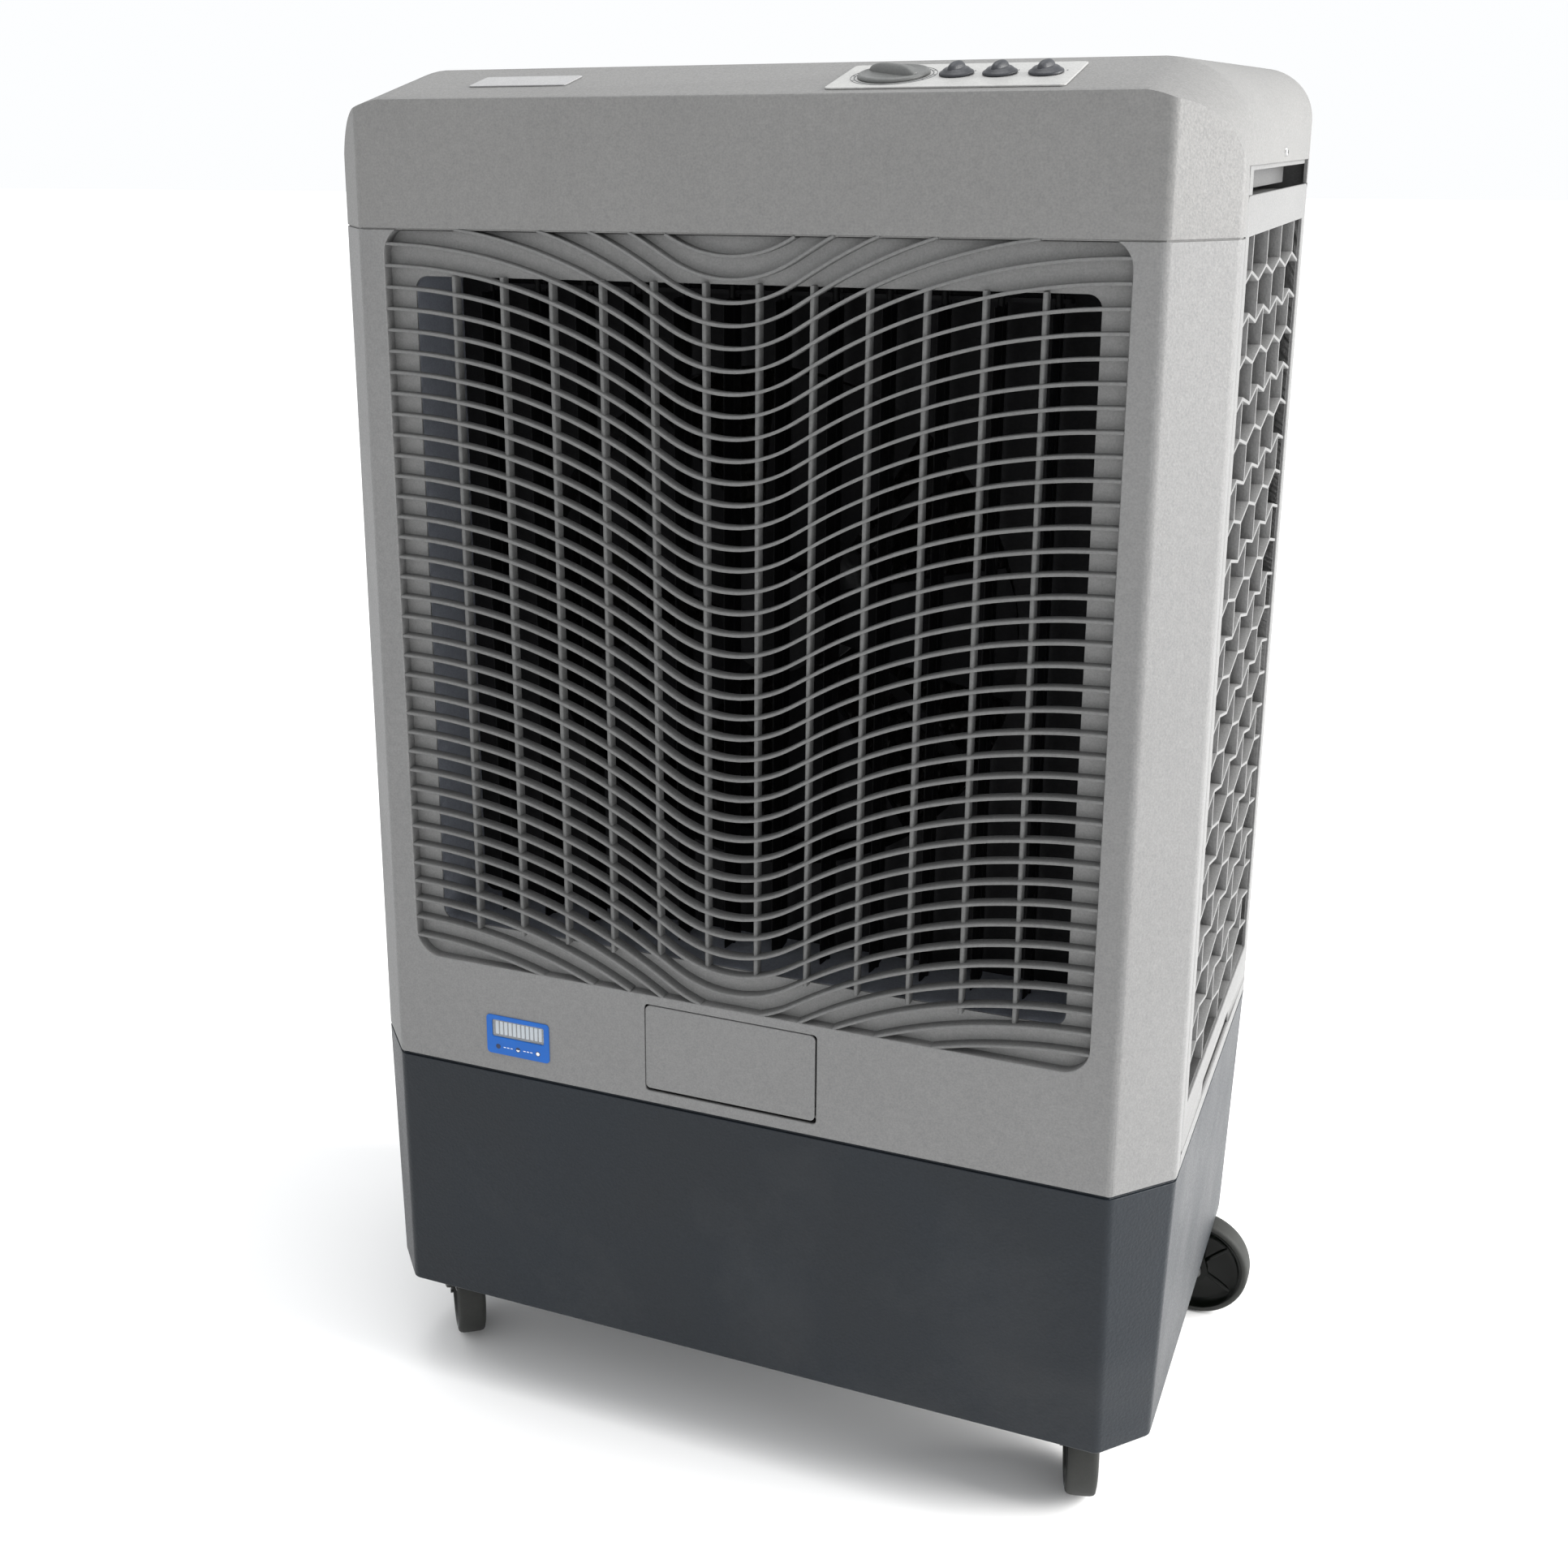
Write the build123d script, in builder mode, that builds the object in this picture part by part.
from build123d import *
import math
import os

# Free-standing evaporative cooler on four castors.  Millimetres, +Z up, origin on the
# floor under the middle of the machine, front towards -Y, machine's "right" at +X.
# A "depth" (names ending in _D) is measured back from the front face of the housing.

os.makedirs("parts", exist_ok=True)

# ------------------------------------------------------------------- housing
WIDTH = 850.0
DEPTH = 510.0
HEIGHT = 1395.0          # floor to top cover
FRONT_Y = -265.0         # front face of the housing
HALF_FRONT = 375.0       # half width of the flat front
CHAMFER_D = 56.0         # depth of the front corner chamfers
CORNER_R = 12.0          # rounding of the upright corners
Z_BASE = 122.0           # underside of the tank skirt
Z_TANK = 400.0           # tank / housing seam
Z_CAP = 1250.0           # top cover seam at the front
Z_SIDE = 1307.0          # top cover lower edge at the sides
WALL = 3.0
THROUGH = 1000.0         # length of cuts that cross the whole machine

# Plans: half width, half width of flat front, front depth, rear depth, chamfer depth
HOUSING_PLAN = (WIDTH / 2, HALF_FRONT, 0.0, DEPTH, CHAMFER_D)
TANK_FOOT_PLAN = (417.0, 376.0, 4.5, 507.0, 47.5)
SKIRT_PLAN = (417.0, 376.0, 4.5, 482.0, 47.5)
LEDGE_PLAN = (WIDTH / 2, HALF_FRONT, 62.0, DEPTH, CHAMFER_D)

# ----------------------------------------------------------------- top cover
SLOPE = math.radians(13.3)   # slope of the control fascia
RIDGE_D = 120.0          # depth at which the fascia meets the flat top
TOP_R = 84.0             # rounding along the sides, front part
REAR_R = 54.0            # the same rounding at the rear
SEAM = 1.4               # shadow gap along the front seam
COVER_FLOOR = 1100.0     # where the uncut cover block starts
COVER_SPLIT_D = 75.0     # the cover reaches lower in front of this depth
SIDE_SCREW = (295.0, 1316.0)                     # depth, z
REAR_SCREWS = ((-200.0, 1320.0), (200.0, 1320.0))  # x, z

# ------------------------------------------------------------------ controls
KNOB_D = 53.0
KNOB_X = (130.0, 184.5, 221.5, 260.0)            # speed, pump, swing, timer
SWITCH_SIZES = (34, 24, 24, 30)
STEM_R = 3.0
STEM_HOLE_R = 4.5

# -------------------------------------------------------------------- outlet
GRILLE_W = 349.0         # half width of the outlet recess
GRILLE_Z0 = 517.0        # bottom of the outlet recess
GRILLE_Z1 = 1253.0       # top of the outlet recess
DUCT_W = 323.5           # half width of the outlet duct
DUCT_Z0, DUCT_Z1 = 555.0, 1207.0
DUCT_H = DUCT_Z1 - DUCT_Z0
DUCT_MID_Z = (DUCT_Z0 + DUCT_Z1) / 2
BAR_PITCH = 20.0         # wave bars
BAR_T = 3.0
BAR_D = 13.0
BACK_PLATE_T = 2.5       # plate behind the wave bars

# half-profile of the wave bars: (distance from the centre line, rise)
WAVE = [
    (0, -90.3), (10, -90.0), (20, -88.5), (35, -84.8), (50, -78.5), (70, -66.5),
    (90, -54.5), (120, -38.4), (150, -24.7), (180, -13.7), (210, -4.4), (240, 3.2),
    (270, 8.5), (300, 12.2), (325, 14.0), (352, 14.9),
]

LOUVRES = 12
LOUVRE_PITCH = 50.0
LOUVRE_D = 71.0          # depth of the louvre axes
LOUVRE_CHORD = 42.0
CRANK = 15.0             # louvre crank radius
PIN_R = 2.0              # crank pins
PIN_D = LOUVRE_D + CRANK
LOUVRE_X = [(k - (LOUVRES - 1) / 2) * LOUVRE_PITCH for k in range(LOUVRES)]
SWING_SHAFT_R = 2.5

# ----------------------------------------------------------------------- fan
FAN_Z = 881.0
FAN_R = 238.0
SHROUD_R = 246.0
SHROUD_D = 100.0
MOTOR_R = 68.0
BRACKET_RING_R = 74.0
BRACKET_D = 225.0        # rear face of the motor bracket
ARM_W = 14.0

# ------------------------------------------------------------- inlet grilles
COMB_PITCH = 95.8        # zigzag period
COMB_ROWS = 22
COMB_AMP = 5.0
COMB_T = 3.0
COMB_DEPTH = 16.0        # front-to-back thickness of the ribs
COMB_Z0, COMB_Z1 = 459.0, 1250.0
SIDE_PERIODS, REAR_PERIODS = 4, 6
COMB_D = 94.9            # front edge of the side grille opening
OPENING_H = COMB_Z1 - COMB_Z0
OPENING_Z = (COMB_Z0 + COMB_Z1) / 2
PANEL_D = 287.5          # depth of the middle of a side panel
PANEL_Z = 849.0
PLATE_H = 869.0
SIDE_PLATE_W, REAR_PLATE_W = 424.0, 639.0
PAD_H = 850.0
PAD_T = 22.5

# ---------------------------------------------------- fill door, level gauge
HINGE = (4.6, 419.0)     # hinge axis: depth, z
WINDOW = (-234.0, 441.5)  # level bezel: x, z
GLASS = (-234.0, 448.5)
LEVER_PIVOT = (-234.0, 372.0)
LEVEL_FLOAT = (-54.0, 292.0)

# --------------------------------------------------------------------- water
INLET = (420.0, 352.0)   # hose inlet in the left tank wall: depth, z
DRAIN = (420.0, 196.0)
TANK_WALL = 5.0
TANK_FLOOR = 158.0
PUMP = (266.0, 393.0)    # x, depth
SPIGOT = (304.0, 420.0)  # pump outlet
RISER = (366.5, 474.0)   # upright part of the hose
TRAY_D = 297.0           # depth of the middle of the water tray
TRAY_W, TRAY_L = 804.0, 382.0
TRAY_Z = 1285.0
FLOAT_PIN_X = -379.0
CORD = (-372.0, 520.0)   # cord entry at the rear: x, z

# ------------------------------------------------------------------- castors
WHEEL_R = 59.0
WHEEL_W = 32.0
HUB_RECESS = 7.0
TRAIL = 38.0
AXLE_R = 5.0
SCREW_PITCH = 46.0       # square screw pattern of the castor plates
PLATE_Z = 150.0          # underside of the castor plates
PLATE_T = 4.0
FORK_Z = 119.2           # underside of the fork crown
# castor: (swivel x, swivel depth, direction the wheel trails, degrees from +X)
CASTERS = {
    "front_right": (350.0, 76.0, 104.0),
    "front_left": (-350.0, 76.0, 125.0),
    "rear_right": (362.0, 470.0, 0.0),
    "rear_left": (-362.0, 470.0, 180.0),
}


# -------------------------------------------------------- planes and outlines
def front(depth):
    """Upright plane with its normal towards the front; local axes X and Z."""
    return Plane.XZ.offset(-(FRONT_Y + depth))


def side(x):
    """Upright plane with its normal towards +X; local axes Y and Z."""
    return Plane.YZ.offset(x)


def level(z):
    return Plane.XY.offset(z)


def plan_at(x, depth):
    """Point of a level sketch."""
    return (x, FRONT_Y + depth)


def side_at(depth, z):
    """Point of a sketch on a side plane."""
    return (FRONT_Y + depth, z)


def space_at(x, depth, z):
    return (x, FRONT_Y + depth, z)


def fascia(x, depth=KNOB_D, up=0.0):
    """Plane lying in the sloping fascia at (x, depth), lifted by up along its normal."""
    z = HEIGHT - (RIDGE_D - depth) * math.tan(SLOPE)
    normal = (0, -math.sin(SLOPE), math.cos(SLOPE))
    origin = (x, FRONT_Y + depth + normal[1] * up, z + normal[2] * up)
    return Plane(origin=origin, x_dir=(1, 0, 0), z_dir=normal)


def plan_points(inset=0.0, plan=HOUSING_PLAN):
    """Corner points of a plan with chamfered front corners, inset on all sides."""
    half, half_front, front_d, rear_d, chamfer_d = plan
    chamfer_x = half - half_front
    length = math.hypot(chamfer_x, chamfer_d)
    across, back = chamfer_x / length, chamfer_d / length
    front_x = half_front - inset * (1 - across) / back
    side_d = front_d + (inset + (chamfer_x - inset) * back) / across
    side_x = half - inset
    return [
        plan_at(-front_x, front_d + inset),
        plan_at(front_x, front_d + inset),
        plan_at(side_x, side_d),
        plan_at(side_x, rear_d - inset),
        plan_at(-side_x, rear_d - inset),
        plan_at(-side_x, side_d),
    ]


CASTER_SPOTS = [plan_at(x, depth) for x, depth, _ in CASTERS.values()]


# ---------------------------------------------------------------- water tank
def tank_section(z, inset):
    """Level section of the tank, which widens from its foot to the housing plan."""
    rise = (z - Z_BASE) / (Z_TANK - Z_BASE)
    plan = [low + (high - low) * rise for low, high in zip(TANK_FOOT_PLAN, HOUSING_PLAN)]
    with BuildSketch(level(z)) as section:
        with BuildLine():
            Polyline(*plan_points(inset, plan), close=True)
        make_face()
        fillet(section.vertices(), max(CORNER_R - inset, 4.0))
    return section.sketch


def base_tank():
    lip_h = 3
    z_rim = Z_TANK - lip_h
    heel_r, heel_block = 22, 40
    skirt_top = PLATE_Z + PLATE_T
    pocket_z = 141
    with BuildPart() as tank:
        add(tank_section(Z_BASE, 0))
        add(tank_section(z_rim, 0))
        loft()
        # rounded heel along the lower rear edge
        heel_d, heel_z = TANK_FOOT_PLAN[3] - heel_r, Z_BASE + heel_r
        with BuildSketch(side(-THROUGH / 2)):
            with Locations(side_at(heel_d + heel_block / 2, heel_z - heel_block / 2)):
                Rectangle(heel_block, heel_block)
            with Locations(side_at(heel_d, heel_z)):
                Circle(heel_r, mode=Mode.SUBTRACT)
        extrude(amount=THROUGH, mode=Mode.SUBTRACT)
        add(tank_section(TANK_FLOOR, TANK_WALL))
        add(tank_section(z_rim, TANK_WALL))
        loft(mode=Mode.SUBTRACT)
        # hollow underside that hides the castor heads
        with BuildSketch(level(Z_BASE)) as hollow:
            with BuildLine():
                Polyline(*plan_points(4.5, SKIRT_PLAN), close=True)
            make_face()
            fillet(hollow.vertices(), 8)
        extrude(amount=skirt_top - Z_BASE, mode=Mode.SUBTRACT)
        # wells for the castor heads and their plates
        with BuildSketch(level(Z_BASE - 1)):
            with Locations(*CASTER_SPOTS):
                Circle(29)
        extrude(amount=skirt_top + 1 - Z_BASE, mode=Mode.SUBTRACT)
        with BuildSketch(level(pocket_z)):
            with Locations(*CASTER_SPOTS):
                RectangleRounded(64, 64, 6.5)
        extrude(amount=skirt_top - pocket_z, mode=Mode.SUBTRACT)
        # locating lip for the housing
        with BuildSketch(level(z_rim)):
            with BuildLine():
                Polyline(*plan_points(2.5), close=True)
            make_face()
            with BuildLine():
                Polyline(*plan_points(TANK_WALL), close=True)
            make_face(mode=Mode.SUBTRACT)
        extrude(amount=lip_h)
        # blind screw bosses above each castor: radius, height, mode
        for radius, height, mode in ((6.5, 18, Mode.ADD), (2.5, 15, Mode.SUBTRACT)):
            with BuildSketch(level(skirt_top)):
                with Locations(*CASTER_SPOTS):
                    with GridLocations(SCREW_PITCH, SCREW_PITCH, 2, 2):
                        Circle(radius)
            extrude(amount=height, mode=mode)
        # flat bosses and holes for the hose inlet and the drain, left side
        for x, radius, length, mode in (
            (-427, 22, 13, Mode.ADD),
            (-440, 10.1, 40, Mode.SUBTRACT),
        ):
            with BuildSketch(side(x)):
                with Locations(side_at(*INLET), side_at(*DRAIN)):
                    Circle(radius)
            extrude(amount=length, mode=mode)
        # stepped pivot stud for the level lever: rear depth, radius, length
        for depth, radius, length in ((10.5, 9, 8), (24, 4, 14)):
            with BuildSketch(front(depth)):
                with Locations(LEVER_PIVOT):
                    Circle(radius)
            extrude(amount=length)
    return tank.part


# --------------------------------------------------------------- front shell
def front_shell():
    shell_rear_d = 74.5
    recess_w, recess_h = 2 * GRILLE_W, GRILLE_Z1 - GRILLE_Z0
    recess_mid = (0, (GRILLE_Z0 + GRILLE_Z1) / 2)
    ear_x, ear_d = 92.9, 6.4
    chute_half = 99
    with BuildPart() as shell:
        with BuildSketch(level(Z_TANK)) as outer:
            with BuildLine():
                Polyline(*plan_points(), close=True)
            make_face()
            # both ends of each front chamfer
            fillet(outer.vertices().group_by(Axis.Y)[0], CORNER_R)
            fillet(outer.vertices().group_by(Axis.Y)[-2], CORNER_R)
        extrude(amount=Z_CAP - Z_TANK)
        # hollow it and drop everything behind the front part
        with BuildSketch(level(Z_TANK)) as inner:
            with BuildLine():
                Polyline(*plan_points(WALL), close=True)
            make_face()
            fillet(inner.vertices().group_by(Axis.Y)[0], CORNER_R - WALL)
            with Locations(plan_at(0, shell_rear_d + 250)):
                Rectangle(1000, 500)
        extrude(amount=Z_CAP - Z_TANK, mode=Mode.SUBTRACT)
        # outlet recess with its return flange
        with BuildSketch(front(0)):
            with Locations(recess_mid):
                RectangleRounded(recess_w + 5.6, recess_h + 5.6, 28)
        extrude(amount=-12.8)
        with BuildSketch(front(-1)):
            with Locations(recess_mid):
                RectangleRounded(recess_w + 0.6, recess_h + 0.6, 26)
        extrude(amount=-20, mode=Mode.SUBTRACT)
        with BuildSketch(level(Z_CAP)):
            with Locations(plan_at(0, 10)):
                Rectangle(900, 60)
        extrude(amount=30, mode=Mode.SUBTRACT)
        # level window and fill door apertures
        with BuildSketch(front(-1)):
            with Locations(WINDOW):
                RectangleRounded(68, 39, 3)
            with Locations((0, 459.6)):
                RectangleRounded(181, 94.2, 4)
        extrude(amount=-6, mode=Mode.SUBTRACT)
        # hinge ears of the fill door
        with Locations(space_at(-ear_x, ear_d, HINGE[1]), space_at(ear_x, ear_d, HINGE[1])):
            Box(4, 7.2, 10)
        with BuildSketch(side(-100)):
            with Locations(side_at(*HINGE)):
                Circle(2.05)
        extrude(amount=200, mode=Mode.SUBTRACT)
        # pouring chute behind the door, sloping down into the tank
        with BuildSketch(side(-chute_half)):
            with BuildLine():
                Polyline(
                    side_at(2.5, 408.5), side_at(46, 402), side_at(46, 404.5),
                    side_at(2.5, 411), close=True,
                )
            make_face()
        extrude(amount=2 * chute_half)
    return shell.part


# -------------------------------------------------------------- outlet grille
def wave_points(z):
    """Full wave across the grille, left to right, raised by z."""
    left = [(-x, z + rise) for x, rise in reversed(WAVE[1:])]
    return left + [(x, z + rise) for x, rise in WAVE]


def front_grille():
    edge_x = GRILLE_W - 0.3
    corner_x = GRILLE_W - 26
    top_z = Z_CAP - 0.5
    plate_z0, plate_z1 = GRILLE_Z0 - 4, Z_CAP - 1
    rib_d = 2.5
    # right half of the outline, from the bottom up
    right = [
        (corner_x, GRILLE_Z0 + 0.3), (edge_x, GRILLE_Z0 + 26), (edge_x, 1227),
        (344.5, 1240), (335, top_z),
    ]
    left = [(-x, z) for x, z in reversed(right)]
    with BuildPart() as grille:
        # wave bars, trimmed to the recess
        with BuildSketch(front(0)):
            for row in range(20, 61):
                z = BAR_PITCH * row + Z_BASE
                with BuildLine():
                    lower = Spline(*wave_points(z - BAR_T / 2))
                    upper = Spline(*wave_points(z + BAR_T / 2))
                    Line(lower @ 1, upper @ 1)
                    Line(lower @ 0, upper @ 0)
                make_face()
            with BuildLine():
                Polyline(*left, *right, close=True)
            make_face(mode=Mode.INTERSECT)
        extrude(amount=-BAR_D - 1)
        # back plate around the duct
        with BuildSketch(front(BAR_D)):
            with Locations((0, (plate_z0 + plate_z1) / 2)):
                Rectangle(2 * GRILLE_W + 8, plate_z1 - plate_z0)
            with Locations((0, DUCT_MID_Z)):
                RectangleRounded(2 * DUCT_W, DUCT_H, 12, mode=Mode.SUBTRACT)
        extrude(amount=-BACK_PLATE_T)
        # upright ribs behind the bars
        with BuildSketch(front(rib_d)):
            with Locations(*[((i - 5.5) * 50.6, DUCT_MID_Z) for i in range(12)]):
                Rectangle(6, DUCT_H + 4)
        extrude(amount=-(BAR_D + BACK_PLATE_T - rib_d))
    return grille.part


# ----------------------------------------------------------------- top cover
def cover_block(inset):
    """Solid outer form of the top cover, inset on all sides."""
    cos, sin = math.cos(SLOPE), math.sin(SLOPE)
    section_w = 2 * (WIDTH / 2 - inset)
    section_mid = (0, HEIGHT + 0.1 - inset - 150)   # trimmed flat by the side profile
    with BuildPart() as block:
        # sloping front part
        with BuildSketch(front(RIDGE_D)) as ridge:
            with Locations(section_mid):
                Rectangle(section_w, 300)
            fillet(ridge.vertices(), TOP_R - inset)
        extrude(amount=260, dir=(0, -cos, -sin))
        # rear part, its rounding tightening towards the rear
        for depth, radius in ((RIDGE_D, TOP_R), (DEPTH + 10, REAR_R)):
            with BuildSketch(front(depth)) as section:
                with Locations(section_mid):
                    Rectangle(section_w, 300)
                fillet(section.vertices(), radius - inset)
        loft()
        with BuildSketch(level(COVER_FLOOR)) as plan:
            with BuildLine():
                Polyline(*plan_points(inset), close=True)
            make_face()
            fillet(plan.vertices(), CORNER_R - inset)
        extrude(amount=320, mode=Mode.INTERSECT)
        # side profile, with one corner rounded
        fold_z = HEIGHT - (RIDGE_D - inset) * math.tan(SLOPE) - inset / cos
        flat_z = HEIGHT - inset / cos
        with BuildSketch(side(-THROUGH / 2)) as profile:
            with BuildLine():
                Polyline(
                    side_at(inset, COVER_FLOOR), side_at(inset, fold_z),
                    side_at(RIDGE_D, flat_z), side_at(600, flat_z),
                    side_at(600, COVER_FLOOR), close=True,
                )
            make_face()
            fillet(profile.vertices().sort_by(Axis.Y)[0:2].sort_by(Axis.Z)[-1], 14 - inset)
        extrude(amount=THROUGH, mode=Mode.INTERSECT)
    return block.part


def top_cover():
    rear_mid_d = COVER_SPLIT_D + 300
    side_cut_z = 1200
    with BuildPart() as cover:
        add(cover_block(0))
        add(cover_block(WALL), mode=Mode.SUBTRACT)
        # lower edge: deeper at the front, higher along the sides and rear
        with Locations((0, 0, (COVER_FLOOR + Z_CAP) / 2)):
            Box(1000, 700, Z_CAP - COVER_FLOOR, mode=Mode.SUBTRACT)
        with Locations(space_at(0, rear_mid_d, (side_cut_z + Z_SIDE) / 2)):
            Box(1000, 600, Z_SIDE - side_cut_z, mode=Mode.SUBTRACT)
        # shadow gap along the front seam
        with BuildSketch(level(Z_CAP)):
            with BuildLine():
                Polyline(*plan_points(-2), close=True)
            make_face()
            with BuildLine():
                Polyline(*plan_points(1.8), close=True)
            make_face(mode=Mode.SUBTRACT)
            with Locations(plan_at(0, rear_mid_d)):
                Rectangle(1000, 600, mode=Mode.SUBTRACT)
        extrude(amount=SEAM, mode=Mode.SUBTRACT)
        # screw holes, sides and rear
        with BuildSketch(side(-450)):
            with Locations(side_at(*SIDE_SCREW)):
                Circle(1.8)
        extrude(amount=900, mode=Mode.SUBTRACT)
        with BuildSketch(front(DEPTH + 5)):
            with Locations(*REAR_SCREWS):
                Circle(1.8)
        extrude(amount=30, mode=Mode.SUBTRACT)
        # clearance holes for the control stems
        for x in KNOB_X:
            with BuildSketch(fascia(x)):
                Circle(STEM_HOLE_R)
            extrude(amount=8, both=True, mode=Mode.SUBTRACT)
    return cover.part


# ------------------------------------------------------------ control fascia
def control_plate():
    plate_x = 184
    with BuildPart() as plate:
        with BuildSketch(fascia(plate_x, up=0.05)):
            RectangleRounded(204, 88, 5)
            with Locations(*[(x - plate_x, 0) for x in KNOB_X]):
                Circle(STEM_HOLE_R, mode=Mode.SUBTRACT)
        extrude(amount=1.8)
    return plate.part


def badge_plate():
    with BuildPart() as badge:
        with BuildSketch(fascia(-226, 60.5, 0.05)):
            RectangleRounded(100, 38, 3)
        extrude(amount=1.4)
    return badge.part


def control_knob(x, radii, skirt_h, grip_base, grip_top, grip_h, turn):
    """Tapered skirt, tapered grip slot (length, width) turned by turn degrees, stem."""
    skirt_up = 2.4
    grip_up = skirt_up + skirt_h
    with BuildPart() as knob:
        for up, radius in zip((skirt_up, grip_up), radii):
            with BuildSketch(fascia(x, up=up)):
                Circle(radius)
        loft()
        for up, (length, width) in ((grip_up, grip_base), (grip_up + grip_h, grip_top)):
            with BuildSketch(fascia(x, up=up)):
                SlotOverall(length, width, rotation=turn)
        loft()
        with BuildSketch(fascia(x, up=-12)):
            Circle(STEM_R)
        extrude(amount=16)
    return knob.part


def speed_dial():
    return control_knob(
        KNOB_X[0], radii=(31, 29.5), skirt_h=3.0,
        grip_base=(54, 15), grip_top=(50, 9), grip_h=8.0, turn=40,
    )


def small_knob(x):
    return control_knob(
        x, radii=(14.5, 12), skirt_h=4.0,
        grip_base=(22, 11), grip_top=(16, 6.5), grip_h=6.5, turn=70,
    )


def rotary_switches():
    with BuildPart() as switches:
        for x, size in zip(KNOB_X, SWITCH_SIZES):
            with BuildSketch(fascia(x, up=-4)):
                Rectangle(size, size)
            extrude(amount=-24)
            with BuildSketch(fascia(x, up=-4)):
                Circle(STEM_R + 0.05)
            extrude(amount=-10, mode=Mode.SUBTRACT)
    return switches.part


# --------------------------------------------------------------- level gauge
def level_bezel():
    # depth, centre, width, height, corner radius, length, mode
    layers = (
        (-1.2, WINDOW, 72, 43, 4, 1.1, Mode.ADD),
        (-0.1, WINDOW, 67, 38, 2.5, 4, Mode.ADD),
        (-3, GLASS, 60, 19, 2, 20, Mode.SUBTRACT),
    )
    with BuildPart() as bezel:
        for depth, centre, width, height, radius, length, mode in layers:
            with BuildSketch(front(depth)):
                with Locations(centre):
                    RectangleRounded(width, height, radius)
            extrude(amount=-length, mode=mode)
    return bezel.part


def level_window():
    with BuildPart() as window:
        with BuildSketch(front(0)):
            with Locations(GLASS):
                RectangleRounded(59.6, 18.6, 1.8)
        extrude(amount=-2)
    return window.part


def level_lever():
    with BuildPart() as lever:
        with BuildSketch(front(19)):
            with Locations(LEVER_PIVOT):
                Circle(10)
            # upright pointer arm
            with BuildLine():
                Polyline((-239, 372), (-238, 452), (-230, 452), (-229, 372), close=True)
            make_face()
            # arm down to the float
            with BuildLine():
                Polyline((-236, 366), (-56, 287), (-53, 296), (-232, 378), close=True)
            make_face()
            with Locations(LEVEL_FLOAT):
                Circle(9)
            with Locations(LEVER_PIVOT):
                Circle(4.05, mode=Mode.SUBTRACT)
        extrude(amount=7)
        # flag behind the window
        with BuildSketch(front(14)):
            with Locations((-234, 449)):
                Rectangle(16, 17)
        extrude(amount=6)
    return lever.part


def level_float():
    with BuildPart() as float_body:
        with BuildSketch(front(66)):
            with Locations(LEVEL_FLOAT):
                Circle(22)
        extrude(amount=46.9)
        fillet(float_body.edges(), 5)
    return float_body.part


# ----------------------------------------------------------------- fill door
def fill_door():
    with BuildPart() as door:
        with BuildSketch(front(3)):
            with Locations((0, 460.4)):
                RectangleRounded(179.6, 91, 6)
        extrude(amount=3)
        # moulded hinge barrel with a trunnion at each end: half length, radius
        for half, radius in ((86, 3.4), (94.5, 2)):
            with BuildSketch(side(-half)):
                with Locations(side_at(*HINGE)):
                    Circle(radius)
            extrude(amount=2 * half)
    return door.part


# ------------------------------------------------------------- inlet grilles
def comb_cells(start, periods):
    """Cell polygons of a zigzag grille; walls alternate between crests and troughs."""
    row_h = OPENING_H / COMB_ROWS
    half_pitch = COMB_PITCH / 2
    half_rib = COMB_T / 2
    end = start + periods * COMB_PITCH
    cells = []

    def zigzag(u, row):
        phase = (u - start) % COMB_PITCH
        climb = phase / half_pitch if phase <= half_pitch else 2 - phase / half_pitch
        return COMB_Z1 - row * row_h - COMB_AMP + 2 * COMB_AMP * climb

    for row in range(COMB_ROWS):
        if row % 2 == 0:
            inner = [start + half_pitch + j * COMB_PITCH for j in range(periods)]
            walls = [start] + inner + [end]
        else:
            walls = [start + j * COMB_PITCH for j in range(periods + 1)]
        for a, b in zip(walls[:-1], walls[1:]):
            stations = [
                a + (half_rib if a > start else 0),
                b - (half_rib if b < end else 0),
            ]
            # a full-width cell also bends in its middle
            if b - a > half_pitch + 1:
                stations.insert(1, a + half_pitch)
            top = [
                (u, COMB_Z1 if row == 0 else zigzag(u, row) - half_rib) for u in stations
            ]
            bottom = [
                (u, COMB_Z0 if row == COMB_ROWS - 1 else zigzag(u, row + 1) + half_rib)
                for u in stations
            ]
            cells.append(top + bottom[::-1])
    return cells


def comb_grid(place, thickness, start, periods):
    """Zigzag rib grid as one solid.

    place(u, z) gives a point on its first face, thickness is its extrusion vector.
    """
    margin = 1.2             # overlap into the surrounding rim
    left, right = start - margin, start + periods * COMB_PITCH + margin
    low, high = COMB_Z0 - margin, COMB_Z1 + margin
    rim = [(left, low), (right, low), (right, high), (left, high)]
    outer = Wire.make_polygon([place(u, z) for u, z in rim], close=True)
    holes = [
        Wire.make_polygon([place(u, z) for u, z in cell], close=True)
        for cell in comb_cells(start, periods)
    ]
    return Solid.extrude(Face(outer, holes), thickness)


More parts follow.
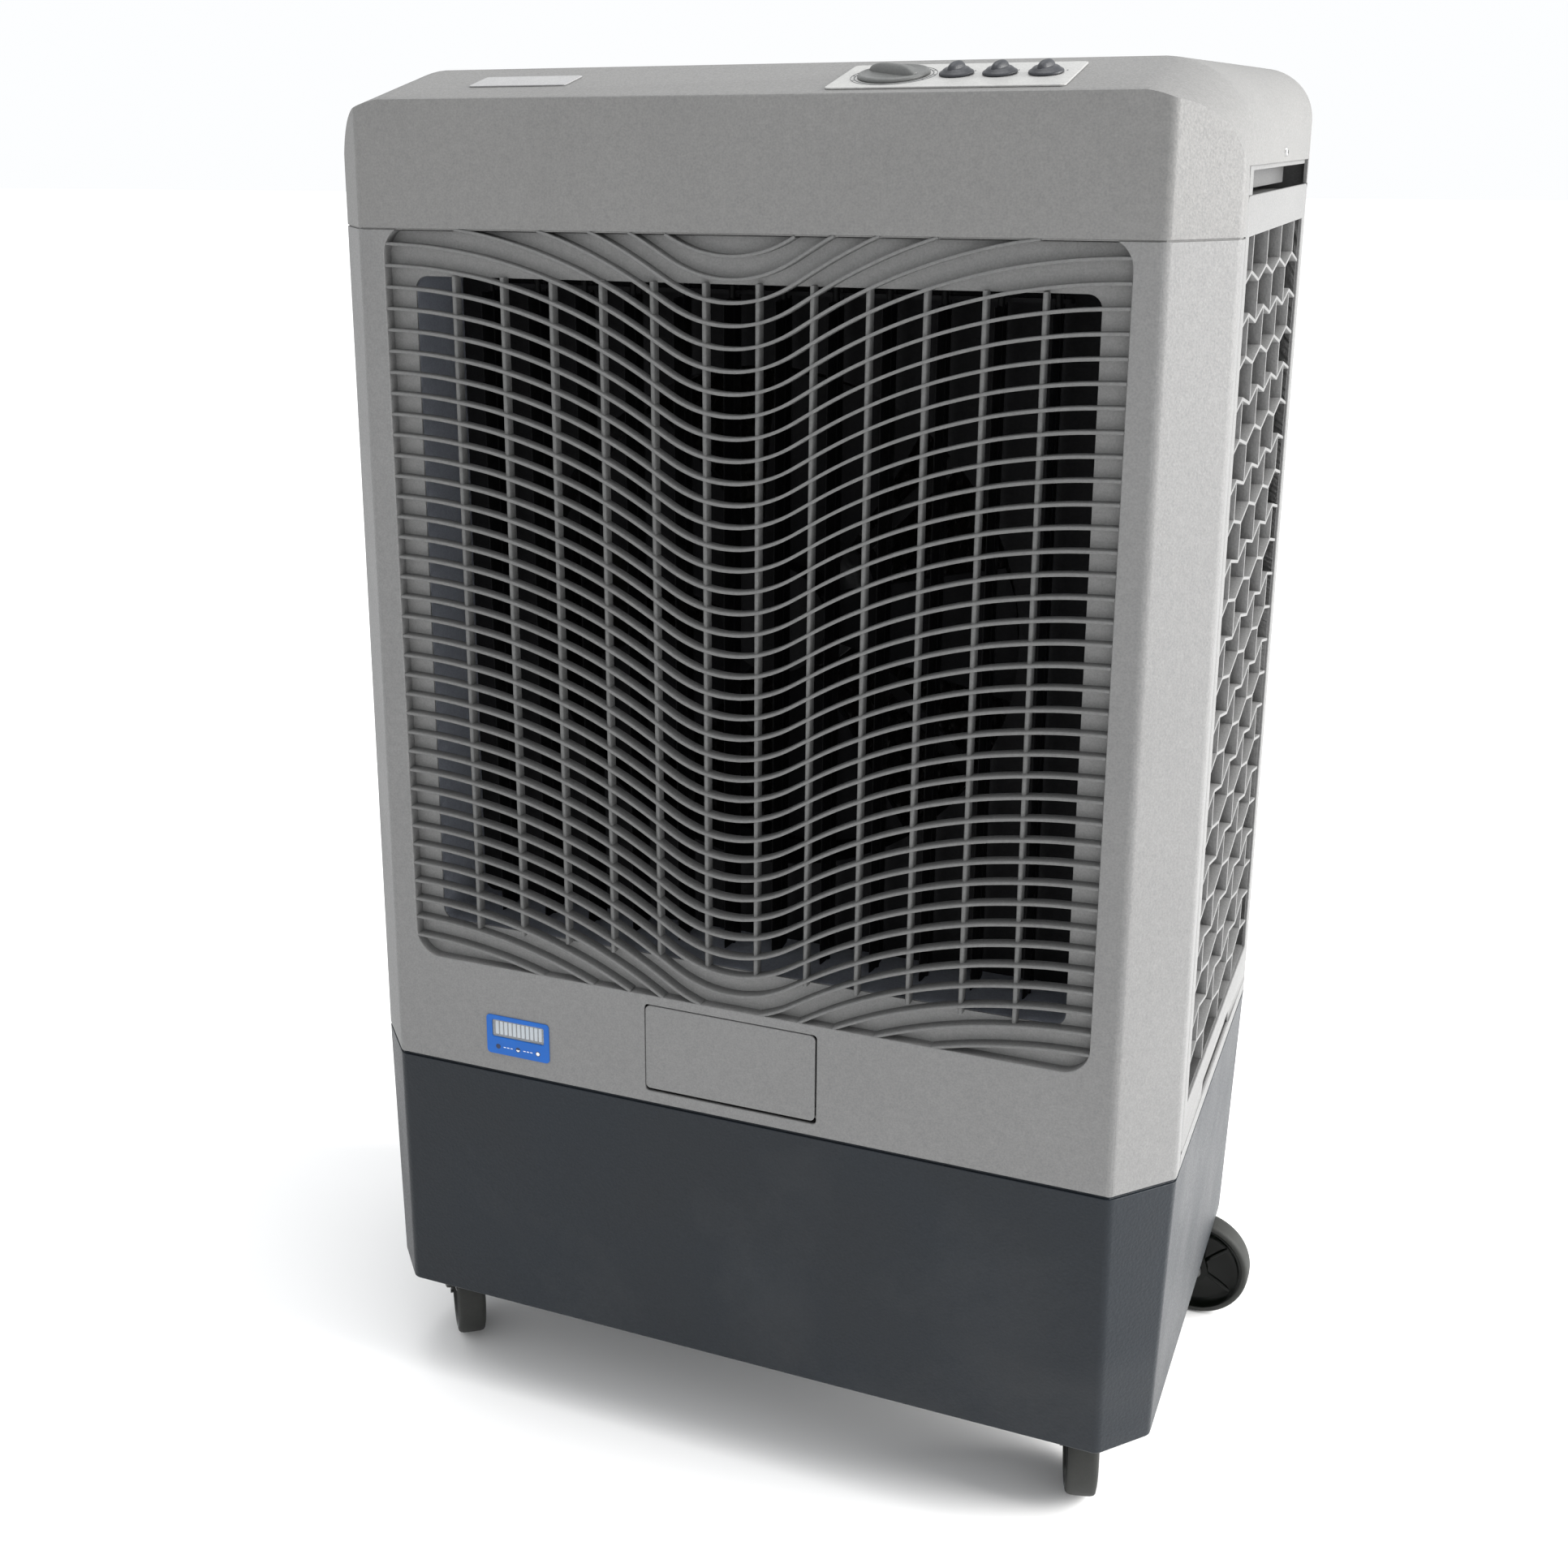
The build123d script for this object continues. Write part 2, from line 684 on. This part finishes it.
def inlet_frame(centre, opening, periods, plate, rim, holder, comb):
    """Face plate, rim around the opening, rim that holds the pad, and the grille.

    plate and holder are (plane, thickness, width); rim is (plane, thickness).
    """
    opening_w = periods * COMB_PITCH
    plate_plane, plate_t, plate_w = plate
    rim_plane, rim_t = rim
    holder_plane, holder_t, holder_w = holder
    with BuildPart() as frame:
        with BuildSketch(plate_plane):
            with Locations(centre):
                RectangleRounded(plate_w, PLATE_H, 8)
            with Locations(opening):
                Rectangle(opening_w, OPENING_H, mode=Mode.SUBTRACT)
        extrude(amount=plate_t)
        with BuildSketch(rim_plane):
            with Locations(opening):
                Rectangle(opening_w + 5, OPENING_H + 5)
                Rectangle(opening_w, OPENING_H, mode=Mode.SUBTRACT)
        extrude(amount=rim_t)
        with BuildSketch(holder_plane):
            with Locations(centre):
                RectangleRounded(holder_w, 859, 5)
                RectangleRounded(holder_w - 5, 854, 3, mode=Mode.SUBTRACT)
        extrude(amount=holder_t)
        add(comb)
    return frame.part


def pad_frame_right():
    comb_y = FRONT_Y + COMB_D
    comb = comb_grid(
        lambda u, z: Vector(407, u, z), Vector(COMB_DEPTH, 0, 0), comb_y, SIDE_PERIODS
    )
    body = inlet_frame(
        centre=side_at(PANEL_D, PANEL_Z),
        opening=(comb_y + SIDE_PERIODS / 2 * COMB_PITCH, OPENING_Z),
        periods=SIDE_PERIODS,
        plate=(side(422), 3, SIDE_PLATE_W),
        rim=(side(400.2), 22),
        holder=(side(376), 46, 414),
        comb=comb,
    )
    with BuildPart() as frame:
        add(body)
        # finger notch along the lower edge
        with BuildSketch(side(423)):
            with BuildLine():
                Polyline(
                    side_at(190, 416), side_at(370, 416), side_at(362, 432),
                    side_at(198, 432), close=True,
                )
            make_face()
        extrude(amount=4, mode=Mode.SUBTRACT)
    return frame.part


def pad_frame_rear():
    comb_y = FRONT_Y + DEPTH - 18
    comb = comb_grid(
        lambda u, z: Vector(u, comb_y, z), Vector(0, COMB_DEPTH, 0),
        -REAR_PERIODS / 2 * COMB_PITCH, REAR_PERIODS,
    )
    return inlet_frame(
        centre=(0, PANEL_Z),
        opening=(0, OPENING_Z),
        periods=REAR_PERIODS,
        plate=(front(DEPTH), 3, REAR_PLATE_W),
        rim=(front(DEPTH - 2), 22.8),
        holder=(front(DEPTH - 2), 47, 630),
        comb=comb,
    )


def pad_right():
    with BuildPart() as pad:
        with BuildSketch(side(377)):
            with Locations(side_at(PANEL_D, PANEL_Z)):
                Rectangle(405, PAD_H)
        extrude(amount=PAD_T)
    return pad.part


def pad_rear():
    with BuildPart() as pad:
        with BuildSketch(front(DEPTH - 26)):
            with Locations((0, PANEL_Z)):
                Rectangle(621, PAD_H)
        extrude(amount=PAD_T)
    return pad.part


def mirrored(part):
    """The left-hand twin of a right-hand part."""
    with BuildPart() as twin:
        mirror(part, about=Plane.YZ)
    return twin.part


# ------------------------------------------------------------- chassis frame
def chassis_frame():
    top_ring_z = Z_SIDE - 4
    post_x = 372
    side_tab, rear_tab = 420, 505
    with BuildPart() as chassis:
        # outer band with corner posts
        with BuildSketch(level(Z_TANK)) as band:
            with Locations(plan_at(0, (COVER_SPLIT_D + DEPTH) / 2)):
                Rectangle(WIDTH, DEPTH - COVER_SPLIT_D)
            fillet(band.vertices().group_by(Axis.Y)[-1], CORNER_R)
            with Locations(plan_at(0, (70 + DEPTH - WALL) / 2 - 0.4)):
                Rectangle(WIDTH - 6.8, DEPTH - WALL - 70, mode=Mode.SUBTRACT)
        extrude(amount=Z_SIDE - Z_TANK)
        # openings for the inlet frames, and a notch above the side ones
        with BuildSketch(side(-THROUGH / 2)):
            with Locations(side_at(PANEL_D, PANEL_Z)):
                Rectangle(SIDE_PLATE_W + 1, PLATE_H + 1)
            with Locations(side_at(292.5, 1290)):
                Rectangle(395, 34)
        extrude(amount=THROUGH, mode=Mode.SUBTRACT)
        with BuildSketch(front(DEPTH + 10)):
            with Locations((0, PANEL_Z)):
                Rectangle(REAR_PLATE_W + 1, PLATE_H + 1)
        extrude(amount=40, mode=Mode.SUBTRACT)
        # ledge over the tank and ring under the top cover: z, ledge width
        for z, ledge in ((Z_TANK, 12), (top_ring_z, 50)):
            with BuildSketch(level(z)):
                with BuildLine():
                    Polyline(*plan_points(3.2, LEDGE_PLAN), close=True)
                make_face()
                with Locations(plan_at(0, (66 + 507 - ledge) / 2)):
                    Rectangle(2 * (422 - ledge), 507 - ledge - 66, mode=Mode.SUBTRACT)
                with Locations(plan_at(0, 40)):
                    Rectangle(1000, 52, mode=Mode.SUBTRACT)
            extrude(amount=4)
        for sign in (-1, 1):
            # front posts, L-shaped
            with BuildSketch(level(Z_TANK)):
                with Locations(plan_at(sign * 396, 68)):
                    Rectangle(51.6, 4)
                with Locations(plan_at(sign * post_x, 85)):
                    Rectangle(4, 38)
            extrude(amount=top_ring_z - Z_TANK)
            # inner faces of the rear posts
            with BuildSketch(level(Z_TANK)):
                with Locations(plan_at(sign * post_x, 505.5)):
                    Rectangle(100, 4)
            extrude(amount=Z_SIDE - Z_TANK)
        # tabs behind the cover screws
        tab_z = 1312.5
        with Locations(*[space_at(x, SIDE_SCREW[0], tab_z) for x in (side_tab, -side_tab)]):
            Box(3.6, 24, 19)
        with Locations(*[space_at(x, rear_tab, tab_z) for x, _ in REAR_SCREWS]):
            Box(24, 3.6, 27)
        with BuildSketch(side(-450)):
            with Locations(side_at(*SIDE_SCREW)):
                Circle(1.65)
        extrude(amount=900, mode=Mode.SUBTRACT)
        # rear screw holes and the cord hole
        with BuildSketch(front(DEPTH + 5)):
            with Locations(*REAR_SCREWS):
                Circle(1.65)
            with Locations(CORD):
                Circle(8)
        extrude(amount=30, mode=Mode.SUBTRACT)
    return chassis.part


# ------------------------------------------------------- water distribution
def water_distributor():
    channel_w = 42
    wall = 2.5
    with BuildPart() as tray:
        # U-shaped channel over the three pads, open at the front
        with BuildSketch(level(TRAY_Z)):
            with Locations(plan_at(0, TRAY_D)):
                Rectangle(TRAY_W, TRAY_L)
            with Locations(plan_at(0, TRAY_D - 30)):
                Rectangle(TRAY_W - 2 * channel_w, TRAY_L, mode=Mode.SUBTRACT)
        extrude(amount=17.5)
        with BuildSketch(level(TRAY_Z + wall)):
            with Locations(plan_at(0, TRAY_D)):
                Rectangle(TRAY_W - 2 * wall, TRAY_L - 2 * wall)
            with Locations(plan_at(0, TRAY_D - 30)):
                Rectangle(TRAY_W - 2 * (channel_w - wall), TRAY_L, mode=Mode.SUBTRACT)
        extrude(amount=17, mode=Mode.SUBTRACT)
        # drip holes over the pads, and the hose hole
        with BuildSketch(level(TRAY_Z - 5)):
            with Locations(plan_at(388, 280), plan_at(-388, 280)):
                with GridLocations(1, 36, 1, 10):
                    Circle(2)
            with Locations(plan_at(0, 473)):
                with GridLocations(40, 1, 15, 1):
                    Circle(2)
            with Locations(plan_at(*RISER)):
                Circle(6.6)
        extrude(amount=20, mode=Mode.SUBTRACT)
    return tray.part


def pump():
    base_h = 34
    body_z = TANK_FLOOR + base_h
    slots, slot_pitch = 7, 11
    pump_x, pump_d = PUMP
    with BuildPart() as body:
        # slotted strainer base
        with BuildSketch(level(TANK_FLOOR)):
            with Locations(plan_at(*PUMP)):
                RectangleRounded(90, 80, 8)
        extrude(amount=base_h)
        for k in range(slots):
            slot_x = pump_x + slot_pitch * (k - (slots - 1) / 2)
            with Locations(space_at(slot_x, pump_d, 173)):
                Box(4, 90, 18, mode=Mode.SUBTRACT)
        with BuildSketch(level(body_z)):
            with Locations(plan_at(*PUMP)):
                Circle(28)
        extrude(amount=52)
        fillet(body.edges().group_by(Axis.Z)[-1], 5)
        # outlet spigot
        with BuildSketch(level(body_z)):
            with Locations(plan_at(*SPIGOT)):
                Circle(5.9)
        extrude(amount=40)
    return body.part


def water_hose():
    bore_r = 6
    foot = space_at(*SPIGOT, 205)
    bend_start = space_at(*SPIGOT, 290)
    bend_end = space_at(*RISER, 520)
    with BuildPart() as hose:
        with BuildLine():
            Line(foot, bend_start)
            Spline(
                bend_start, space_at(335, 447, 405), bend_end,
                tangents=((0, 0, 1), (0, 0, 1)),
            )
            Line(bend_end, space_at(*RISER, 1292))
        with BuildSketch(Plane(origin=foot, z_dir=(0, 0, 1))):
            Circle(8)
        sweep()
        # bores at both ends
        for z, spot in ((200, SPIGOT), (1250, RISER)):
            with BuildSketch(level(z)):
                with Locations(plan_at(*spot)):
                    Circle(bore_r)
            extrude(amount=60, mode=Mode.SUBTRACT)
        # thinner end that passes through the tray
        with BuildSketch(level(1283)):
            with Locations(plan_at(*RISER)):
                Circle(9)
                Circle(6.5, mode=Mode.SUBTRACT)
        extrude(amount=20, mode=Mode.SUBTRACT)
    return hose.part


# ----------------------------------------------------------------------- fan
def fan_shroud():
    with BuildPart() as shroud:
        with BuildSketch(front(SHROUD_D)):
            with Locations((0, 853.7)):
                Rectangle(739, 898)
            with Locations((0, FAN_Z)):
                Circle(SHROUD_R, mode=Mode.SUBTRACT)
        extrude(amount=-4)
        with BuildSketch(front(SHROUD_D)):
            with Locations((0, FAN_Z)):
                Circle(SHROUD_R + 4)
                Circle(SHROUD_R, mode=Mode.SUBTRACT)
        extrude(amount=-68)
    return shroud.part


def fan_blade():
    """One twisted blade reaching along +X from an axis along Z."""
    # radius, chord, thickness, pitch angle
    stations = ((48, 70, 4, 38), (150, 120, 3.5, 26), (FAN_R - 2, 150, 3, 17))
    with BuildPart() as blade:
        for radius, chord, thickness, angle in stations:
            with BuildSketch(Plane(origin=(radius, 0, 24), x_dir=(0, 1, 0), z_dir=(1, 0, 0))):
                Rectangle(chord, thickness, rotation=angle)
        loft()
        Cylinder(FAN_R, 200, mode=Mode.INTERSECT)
    return blade.part


def fan_impeller():
    blade = fan_blade()
    on_base = (Align.CENTER, Align.CENTER, Align.MIN)
    with BuildPart() as impeller:
        with Locations(Location(space_at(0, 113, FAN_Z), (-90, 0, 0))):
            with PolarLocations(0.001, 5):
                add(blade)
            # hub and shaft
            Cylinder(54, 48, align=on_base)
            Cylinder(8, 110, align=on_base)
    return impeller.part


def fan_motor():
    with BuildPart() as motor:
        with BuildSketch(front(182)):
            with Locations((0, FAN_Z)):
                Circle(MOTOR_R)
        extrude(amount=-110)
        fillet(motor.edges(), 12)
        # front nose and shaft bore
        with BuildSketch(front(170)):
            with Locations((0, FAN_Z)):
                Circle(20)
        extrude(amount=-14)
        with BuildSketch(front(169)):
            with Locations((0, FAN_Z)):
                Circle(8.06)
        extrude(amount=-57, mode=Mode.SUBTRACT)
    return motor.part


def motor_bracket():
    ring_bore = MOTOR_R + 0.1
    with BuildPart() as bracket:
        # ring with four diagonal arms
        with BuildSketch(front(BRACKET_D)):
            with Locations((0, FAN_Z)):
                Circle(BRACKET_RING_R)
                with PolarLocations(0, 4, start_angle=45):
                    with Locations((167, 0)):
                        Rectangle(196, ARM_W)
                Circle(ring_bore, mode=Mode.SUBTRACT)
        extrude(amount=-6)
        with BuildSketch(front(BRACKET_D)):
            with Locations((0, FAN_Z)):
                Circle(BRACKET_RING_R)
                Circle(ring_bore, mode=Mode.SUBTRACT)
        extrude(amount=-22)
        # legs back from the shroud plate
        with BuildSketch(front(SHROUD_D + 4)):
            with Locations((0, FAN_Z)):
                with PolarLocations(258.5, 4, start_angle=45):
                    Rectangle(13, ARM_W)
        extrude(amount=-124)
    return bracket.part


# ------------------------------------------------------------------- louvres
def louvre_frame():
    with BuildPart() as frame:
        with BuildSketch(front(BAR_D + BACK_PLATE_T + 0.1)):
            with Locations((0, DUCT_MID_Z)):
                RectangleRounded(2 * DUCT_W + 7, DUCT_H + 14, 14)
                RectangleRounded(2 * DUCT_W, DUCT_H, 12, mode=Mode.SUBTRACT)
        extrude(amount=-84.3)
        # pivot holes, and the swing shaft hole in the top
        with BuildSketch(level(500)):
            with Locations(*[plan_at(x, LOUVRE_D) for x in LOUVRE_X]):
                Circle(3.05)
        extrude(amount=800, mode=Mode.SUBTRACT)
        with BuildSketch(level(1150)):
            with Locations(plan_at(0, LOUVRE_D)):
                Circle(SWING_SHAFT_R + 0.05)
        extrude(amount=100, mode=Mode.SUBTRACT)
    return frame.part


def louvre(x):
    blade_z0, blade_z1 = 557, 1190
    pivot_z0, pivot_z1 = 549.5, 1212.5
    with BuildPart() as vane:
        with BuildSketch(level(blade_z0)):
            with Locations(plan_at(x, LOUVRE_D)):
                Ellipse(2.2, LOUVRE_CHORD / 2)
        extrude(amount=blade_z1 - blade_z0)
        with BuildSketch(level(pivot_z0)):
            with Locations(plan_at(x, LOUVRE_D)):
                Circle(3)
        extrude(amount=pivot_z1 - pivot_z0)
        # crank pin
        with BuildSketch(level(1180)):
            with Locations(plan_at(x, PIN_D)):
                Circle(PIN_R)
        extrude(amount=20)
    return vane.part


def tie_bar():
    with BuildPart() as bar:
        with BuildSketch(level(1193)):
            with Locations(plan_at(0, PIN_D)):
                SlotOverall(570, 9)
            with Locations(*[plan_at(x, PIN_D) for x in LOUVRE_X + [0]]):
                Circle(PIN_R + 0.05, mode=Mode.SUBTRACT)
        extrude(amount=4)
    return bar.part


def swing_crank():
    web_z, web_w = 1199, 9
    with BuildPart() as crank:
        with BuildSketch(level(web_z)):
            with Locations(plan_at(0, LOUVRE_D + CRANK / 2)):
                SlotOverall(CRANK + web_w, web_w, rotation=90)
        extrude(amount=4)
        # shaft up, pin down
        with BuildSketch(level(web_z)):
            with Locations(plan_at(0, LOUVRE_D)):
                Circle(SWING_SHAFT_R)
        extrude(amount=27)
        with BuildSketch(level(1191)):
            with Locations(plan_at(0, PIN_D)):
                Circle(PIN_R)
        extrude(amount=9)
    return crank.part


def swing_motor():
    body_r, ear_x = 24, 27
    with BuildPart() as motor:
        # flange with two screw ears
        with BuildSketch(level(1214.2)):
            with Locations(plan_at(0, LOUVRE_D)):
                Circle(body_r)
                Rectangle(66, 14)
            with Locations(plan_at(-ear_x, LOUVRE_D), plan_at(ear_x, LOUVRE_D)):
                Circle(2, mode=Mode.SUBTRACT)
        extrude(amount=2)
        with BuildSketch(level(1216)):
            with Locations(plan_at(0, LOUVRE_D)):
                Circle(body_r)
        extrude(amount=18)
        with BuildSketch(level(1214)):
            with Locations(plan_at(0, LOUVRE_D)):
                Circle(SWING_SHAFT_R + 0.06)
        extrude(amount=13, mode=Mode.SUBTRACT)
    return motor.part


# ------------------------------------------------------------------- castors
def caster_plates():
    with BuildPart() as plates:
        with BuildSketch(level(PLATE_Z)):
            with Locations(*CASTER_SPOTS):
                RectangleRounded(62, 62, 6)
        extrude(amount=PLATE_T)
        # bearing boss, swivel hole and screw holes
        with BuildSketch(level(145.2)):
            with Locations(*CASTER_SPOTS):
                Circle(17)
        extrude(amount=5)
        with BuildSketch(level(145)):
            with Locations(*CASTER_SPOTS):
                Circle(6.05)
        extrude(amount=7, mode=Mode.SUBTRACT)
        with BuildSketch(level(PLATE_Z - 1)):
            with Locations(*CASTER_SPOTS):
                with GridLocations(SCREW_PITCH, SCREW_PITCH, 2, 2):
                    Circle(2.7)
        extrude(amount=8, mode=Mode.SUBTRACT)
    return plates.part


def trail_direction(angle):
    return math.cos(math.radians(angle)), math.sin(math.radians(angle))


def wheel_plane(x, depth, angle):
    """Upright mid-plane of a wheel: local x along the trail, local y up."""
    trail_x, trail_y = trail_direction(angle)
    return Plane(
        origin=space_at(x, depth, 0), x_dir=(trail_x, trail_y, 0), z_dir=(trail_y, -trail_x, 0)
    )


def caster_fork(x, depth, angle):
    middle = wheel_plane(x, depth, angle)
    cheek_t, cheek_in = 3.4, 17.6
    crown_t = 2.4
    cheek_top = FORK_Z + crown_t
    axle_half = 23
    with BuildPart() as fork:
        # swivel head and crown plate
        with BuildSketch(level(FORK_Z)):
            with Locations(plan_at(x, depth)):
                Circle(25)
        extrude(amount=25.6)
        crown = Plane(
            origin=space_at(x, depth, FORK_Z), x_dir=(*trail_direction(angle), 0), z_dir=(0, 0, 1)
        )
        with BuildSketch(crown):
            with Locations((5, 0)):
                RectangleRounded(60, 42, 8)
        extrude(amount=crown_t)
        # cheeks either side of the wheel
        for offset in (cheek_in, -cheek_in - cheek_t):
            with BuildSketch(middle.offset(offset)):
                with BuildLine():
                    Polyline(
                        (-20, cheek_top), (-20, 118), (22, 57), (54, 57), (34, cheek_top),
                        close=True,
                    )
                make_face()
                with Locations((TRAIL, WHEEL_R)):
                    Circle(14)
            extrude(amount=cheek_t)
        # swivel pin and axle
        with BuildSketch(level(144)):
            with Locations(plan_at(x, depth)):
                Circle(6)
        extrude(amount=7)
        with BuildSketch(middle.offset(-axle_half)):
            with Locations((TRAIL, WHEEL_R)):
                Circle(AXLE_R)
        extrude(amount=2 * axle_half)
    return fork.part


def caster_wheel(x, depth, angle):
    middle = wheel_plane(x, depth, angle)
    with BuildPart() as wheel:
        with BuildSketch(middle.offset(-WHEEL_W / 2)):
            with Locations((TRAIL, WHEEL_R)):
                Circle(WHEEL_R)
        extrude(amount=WHEEL_W)
        fillet(wheel.edges(), 5)
        # ring-shaped recess in each face
        for offset in (WHEEL_W / 2 - HUB_RECESS, -WHEEL_W / 2):
            with BuildSketch(middle.offset(offset)):
                with Locations((TRAIL, WHEEL_R)):
                    Circle(46)
                    Circle(14, mode=Mode.SUBTRACT)
            extrude(amount=HUB_RECESS, mode=Mode.SUBTRACT)
        with BuildSketch(middle.offset(-30)):
            with Locations((TRAIL, WHEEL_R)):
                Circle(AXLE_R + 0.05)
        extrude(amount=60, mode=Mode.SUBTRACT)
    return wheel.part


# ------------------------------------------------- water inlet, drain, power
def hose_inlet():
    inlet_d, inlet_z = INLET
    with BuildPart() as inlet:
        # threaded stub outside
        with BuildSketch(side(-446)):
            with Locations(side_at(*INLET)):
                Circle(13.2)
        extrude(amount=16)
        with BuildSketch(side(-430)):
            with Locations(side_at(*INLET)):
                RegularPolygon(18, 6)
        extrude(amount=2.9)
        # stem through the wall and collar inside: x, radius, length
        for x, radius, length in ((-428, 10, 28), (-413.9, 15, 4)):
            with BuildSketch(side(x)):
                with Locations(side_at(*INLET)):
                    Circle(radius)
            extrude(amount=length)
        # valve body
        with Locations(space_at(-396, inlet_d, inlet_z)):
            Box(20, 26, 22)
        # clevis for the float arm, and its pin
        with Locations(*[space_at(-381, inlet_d + gap, inlet_z) for gap in (-10.5, 10.5)]):
            Box(14, 5, 12)
        with BuildSketch(front(inlet_d - 15)):
            with Locations((FLOAT_PIN_X, inlet_z)):
                Circle(2)
        extrude(amount=-30)
        with BuildSketch(side(-446)):
            with Locations(side_at(*INLET)):
                Circle(6)
        extrude(amount=30, mode=Mode.SUBTRACT)
    return inlet.part


def valve_float():
    inlet_d, inlet_z = INLET
    with BuildPart() as arm:
        with BuildSketch(front(inlet_d - 7)):
            with BuildLine():
                Polyline(
                    (-384, 348), (-374, 348), (-290, 318), (-288, 324), (-372, 356),
                    (-384, 356), close=True,
                )
            make_face()
            with Locations((FLOAT_PIN_X, inlet_z)):
                Circle(2.05, mode=Mode.SUBTRACT)
        extrude(amount=-14)
        with Locations(space_at(-272, inlet_d, 318)):
            Sphere(26)
    return arm.part


def drain_plug():
    with BuildPart() as plug:
        with BuildSketch(side(-437)):
            with Locations(side_at(*DRAIN)):
                RegularPolygon(16, 8)
        extrude(amount=9.9)
        with BuildSketch(side(-430)):
            with Locations(side_at(*DRAIN)):
                Circle(10)
        extrude(amount=22)
    return plug.part


def power_cord():
    cord_x, cord_z = CORD
    hang_d = DEPTH + 11      # depth at which the cord hangs
    start = space_at(cord_x, DEPTH + 2, cord_z)
    with BuildPart() as cord:
        # grommet: flange outside, sleeve through the rear post
        for depth, radius, length in ((DEPTH + 8, 10, 7.9), (DEPTH + 1, 7.9, 8)):
            with BuildSketch(front(depth)):
                with Locations(CORD):
                    Circle(radius)
            extrude(amount=length)
        with BuildLine() as path:
            Spline(
                start, space_at(cord_x, DEPTH + 10, 512), space_at(cord_x, hang_d, 480),
                space_at(-360, hang_d, 380), space_at(-352, hang_d, 300),
                space_at(-350, hang_d, 262),
            )
        with BuildSketch(Plane(origin=start, z_dir=path.line % 0)):
            Circle(4)
        sweep()
        # plug and its two blades
        with Locations(space_at(-350, hang_d, 240)):
            Box(26, 18, 48)
        with Locations(space_at(-356.5, hang_d, 206), space_at(-343.5, hang_d, 206)):
            Box(1.6, 6.4, 20)
    return cord.part


# -------------------------------------------------------------------- screws
def screws():
    head_r, head_h = 4, 1.8      # cover screws
    shank_r = 1.6
    with BuildPart() as fasteners:
        # castor screws, head then shank: z, radius, length
        for z, radius, length in ((147.2, 4.6, 2.8), (149.5, 2.4, 17)):
            with BuildSketch(level(z)):
                with Locations(*CASTER_SPOTS):
                    with GridLocations(SCREW_PITCH, SCREW_PITCH, 2, 2):
                        Circle(radius)
            extrude(amount=length)
        # cover screws at the left, right and rear: start, radius, length
        half = WIDTH / 2
        for x, radius, length in (
            (-half - head_h, head_r, head_h), (-half, shank_r, 9),
            (half, head_r, head_h), (half - 9, shank_r, 9),
        ):
            with BuildSketch(side(x)):
                with Locations(side_at(*SIDE_SCREW)):
                    Circle(radius)
            extrude(amount=length)
        for depth, radius, length in (
            (DEPTH + head_h, head_r, head_h), (DEPTH + 0.5, shank_r, 10),
        ):
            with BuildSketch(front(depth)):
                with Locations(*REAR_SCREWS):
                    Circle(radius)
            extrude(amount=length)
    return fasteners.part


# -------------------------------------------------------------------- export
def save(name, part):
    part.label = name
    export_step(part, f"parts/{name}.step")


# pieces whose file name is the function's name
for build in (
    base_tank, front_shell, front_grille, top_cover,
    control_plate, badge_plate, speed_dial, rotary_switches,
    level_bezel, level_window, level_lever, level_float, fill_door,
    pad_frame_rear, pad_rear, chassis_frame,
    water_distributor, pump, water_hose,
    fan_shroud, fan_impeller, fan_motor, motor_bracket,
    louvre_frame, tie_bar, swing_crank, swing_motor, caster_plates,
    hose_inlet, valve_float, drain_plug, power_cord, screws,
):
    save(build.__name__, build())

for name, x in zip(("pump_knob", "swing_knob", "timer_knob"), KNOB_X[1:]):
    save(name, small_knob(x))

for name, build in (("pad_frame", pad_frame_right), ("pad", pad_right)):
    right_part = build()
    save(f"{name}_right", right_part)
    save(f"{name}_left", mirrored(right_part))

for number, x in enumerate(LOUVRE_X, start=1):
    save(f"louvre_{number:02d}", louvre(x))

for name, caster in CASTERS.items():
    save(f"caster_fork_{name}", caster_fork(*caster))
    save(f"caster_wheel_{name}", caster_wheel(*caster))
